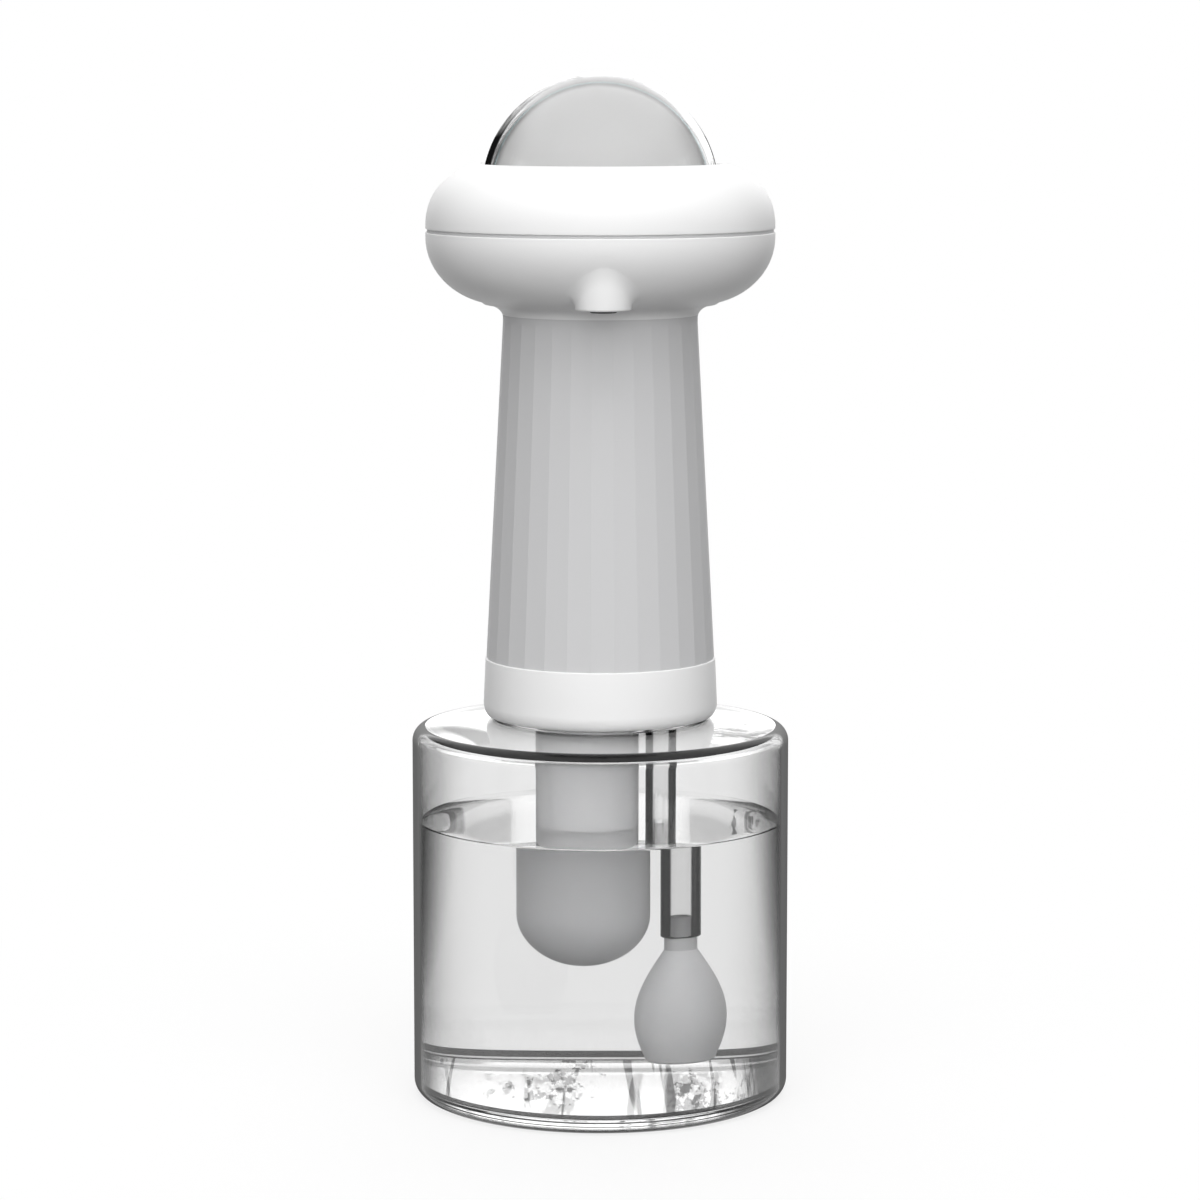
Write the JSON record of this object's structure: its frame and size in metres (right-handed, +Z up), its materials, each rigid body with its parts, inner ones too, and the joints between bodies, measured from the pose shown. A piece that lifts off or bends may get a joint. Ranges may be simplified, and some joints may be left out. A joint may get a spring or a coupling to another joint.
{
  "type": "pet bath foam machine",
  "caption": "Rechargeable foam machine for bathing pets: clear soap tank, screw-on pump unit with faceted grip, hanging battery pod and filter, mushroom head with a spout and a clear dome key.",
  "frame": {"origin": "centre of the tank's flat base", "axes": "+Z up along the machine's centre line, -Y towards the spout, +X towards the suction hose"},
  "size_m": [0.084, 0.084, 0.2281],
  "materials": {
    "clear_tank": "clear moulded tank plastic, polished",
    "clear_dome": "clear moulded acrylic, polished",
    "clear_hose": "clear silicone",
    "white_shell": "fine matt moulded ABS",
    "grey_grip": "matt moulded ABS, light grey",
    "grey_pod": "matt moulded ABS, mid grey",
    "filter_grey": "sintered porous plastic",
    "seal_silicone": "moulded silicone",
    "dark_rubber": "moulded nitrile rubber",
    "dark_plastic": "glass-filled nylon",
    "inner_plastic": "natural acetal",
    "diffuser": "frosted opal acrylic",
    "steel": "stainless steel",
    "board": "green solder mask on glass fibre",
    "cell_wrap": "shrink wrap"
  },
  "bodies": {
    "tank": {"tank": "clear_tank"},
    "seal": {"neck_seal": "seal_silicone"},
    "unit": {"collar_ring": "white_shell", "bulkhead": "white_shell", "battery_pod": "grey_pod", "pod_o_ring": "dark_rubber", "battery_cell": "cell_wrap", "battery_contacts": "steel", "hose_fitting": "inner_plastic", "suction_hose": "clear_hose", "filter_stem": "filter_grey", "filter_bulb": "filter_grey", "filter_weight": "steel", "column_shell": "grey_grip", "chassis": "dark_plastic", "chassis_screws": "steel", "pump_motor": "steel", "pump_housing": "inner_plastic", "swing_plate": "inner_plastic", "pump_diaphragm": "dark_rubber", "pump_head": "inner_plastic", "pump_screws": "steel", "inlet_tube": "seal_silicone", "foam_tube": "seal_silicone", "control_board": "board", "charge_socket": "steel", "plug_anchor": "seal_silicone", "lower_shell": "white_shell", "foam_cartridge": "inner_plastic", "foam_meshes": "steel", "nozzle_tip": "dark_rubber", "head_frame": "dark_plastic", "frame_screws": "steel", "key_board": "board", "key_switch": "dark_plastic", "lamp_chips": "diffuser", "key_spring": "steel", "head_gasket": "seal_silicone", "upper_shell": "white_shell"},
    "dome_key": {"dome_cover": "clear_dome", "dome_diffuser": "diffuser", "key_plate": "inner_plastic"},
    "rotor": {"motor_shaft": "steel", "eccentric": "inner_plastic"},
    "port_cover": {"port_plug": "seal_silicone"}
  },
  "joints": [
    {"name": "unit_lift", "type": "slide", "parent": "tank", "child": "seal", "axis": [0, 0, 1], "range_m": [0, 0.1]},
    {"name": "unit_twist", "type": "hinge", "parent": "seal", "child": "unit", "pos_m": [0, 0, 0.094], "axis": [0, 0, 1], "range_deg": [0, 360]},
    {"name": "dome_press", "type": "slide", "parent": "unit", "child": "dome_key", "axis": [0, 0, -1], "range_m": [0, 0.0015], "stiffness_N_per_m": 900, "springref_m": -0.002, "deforming": ["key_spring"]},
    {"name": "motor_spin", "type": "hinge", "parent": "unit", "child": "rotor", "pos_m": [-0.0045, 0, 0.14], "axis": [0, 0, 1], "continuous": true},
    {"name": "port_cover_swing", "type": "hinge", "parent": "unit", "child": "port_cover", "pos_m": [0, 0.0251, 0.1082], "axis": [-1, 0, 0], "range_deg": [0, 110]}
  ]
}
